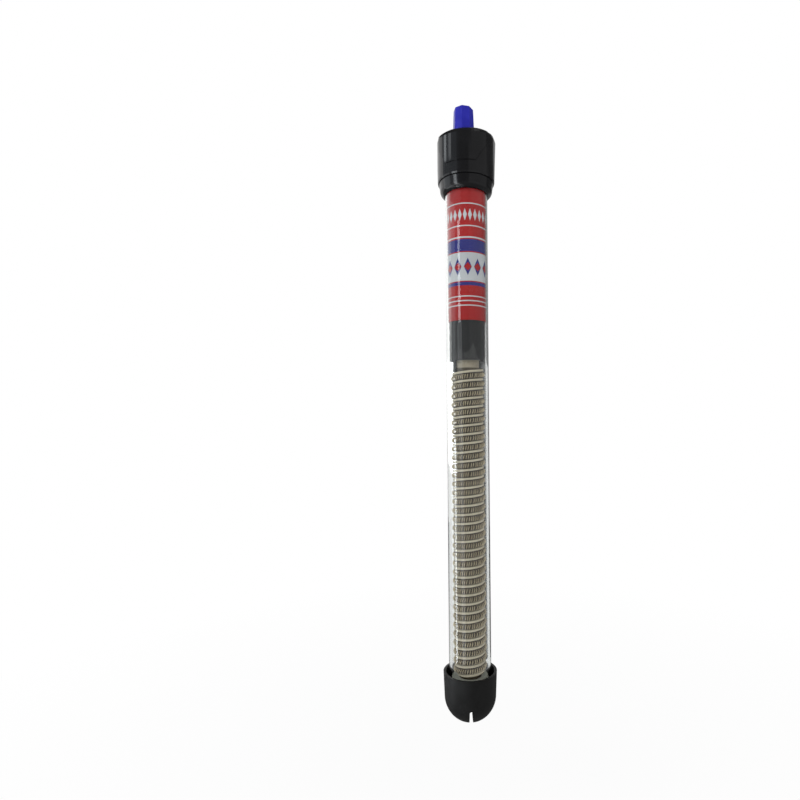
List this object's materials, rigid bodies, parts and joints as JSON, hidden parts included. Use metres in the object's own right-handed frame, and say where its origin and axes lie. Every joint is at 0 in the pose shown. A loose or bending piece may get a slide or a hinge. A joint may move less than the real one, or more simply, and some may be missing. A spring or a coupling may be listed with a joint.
{
  "type": "submersible aquarium heater",
  "caption": "Glass-tube submersible aquarium heater with wound ceramic core, bimetal thermostat, black head with blue knob, and slotted foot cap.",
  "frame": {"origin": "under the middle of the foot cap's round end, at the lowest point of the heater's box", "axes": "+Z along the glass tube up to the knob; -Y is the head's round front with the raised panel and the knob; +X is to the right seen from the front"},
  "size_m": [0.0312, 0.032, 0.3298],
  "materials": {
    "black_matte": "matt moulded black",
    "glass": "clear borosilicate glass",
    "pad": "soft grey silicone",
    "ceramic": "unglazed beige ceramic",
    "resistance_wire": "dull oxidised resistance wire",
    "washer": "white insulating ceramic",
    "sleeve": "satin black insulating film",
    "label": "printed film with red, blue and silver bands",
    "frame_steel": "zinc-plated steel",
    "insulator": "brown hard paper",
    "brass": "plain brass",
    "bimetal": "bimetal strip",
    "blade_bronze": "phosphor bronze spring leaf",
    "silver": "silver contact",
    "magnet": "sintered magnet",
    "soft_iron": "soft iron",
    "nylon": "natural nylon",
    "lead_brown": "brown insulation",
    "lead_blue": "blue insulation",
    "lead_black": "black insulation",
    "copper": "bare copper",
    "tin": "tinned copper",
    "rubber": "black rubber",
    "steel": "spring steel",
    "black_gloss": "glossy moulded black",
    "knob_blue": "translucent-looking dark blue plastic"
  },
  "bodies": {
    "heater": {"glass_tube": "glass", "base_cushion": "pad", "ceramic_core": "ceramic", "heating_coil": "resistance_wire", "core_washer": "washer", "thermostat_sleeve": "sleeve", "label_film": "label", "thermostat_frame": "frame_steel", "stack_insulators": "insulator", "stack_rivets": "brass", "live_terminal": "brass", "coil_terminal": "brass", "live_lead": "lead_brown", "neutral_lead": "lead_blue", "return_lead": "copper", "coil_lead": "lead_black", "wire_ferrules": "tin", "rubber_plug": "rubber", "spindle_bush": "nylon", "tube_seal_ring": "rubber", "head_collar": "black_gloss", "head_shell": "black_gloss", "cord_gland": "rubber"},
    "knob": {"knob": "knob_blue", "knob_spindle": "nylon", "spindle_o_rings": "rubber", "spindle_clip": "steel"},
    "nut": {"setting_nut": "nylon"},
    "setting": {"setting_blade": "blade_bronze", "fixed_contact": "silver", "snap_magnet": "magnet"},
    "bimetal": {"bimetal_blade": "bimetal", "moving_contact": "silver", "snap_armature": "soft_iron"},
    "foot": {"foot_cap": "black_matte"}
  },
  "joints": [
    {"name": "knob_turn", "type": "hinge", "parent": "heater", "child": "knob", "pos_m": [0, -0.0055, 0.316], "axis": [0, 0, 1], "range_deg": [-135, 135]},
    {"name": "nut_travel", "type": "slide", "parent": "heater", "child": "nut", "axis": [0, 0, 1], "range_m": [-0.00056, 0.00056]},
    {"name": "setting_flex", "type": "hinge", "parent": "heater", "child": "setting", "pos_m": [0, -0.00265, 0.213], "axis": [-1, 0, 0], "range_deg": [-0.33, 0.33]},
    {"name": "bimetal_flex", "type": "hinge", "parent": "heater", "child": "bimetal", "pos_m": [0, 0.00025, 0.213], "axis": [-1, 0, 0], "range_deg": [-0.4, 2], "stiffness_Nm_per_rad": 0.02},
    {"name": "foot_pull", "type": "slide", "parent": "heater", "child": "foot", "axis": [0, 0, 1], "range_m": [-0.035, 0]}
  ],
  "couplings": [
    {"joint": "knob_turn", "follows": "nut_travel", "rad_per_m": -4188.8},
    {"joint": "setting_flex", "follows": "nut_travel", "rad_per_m": -10}
  ]
}
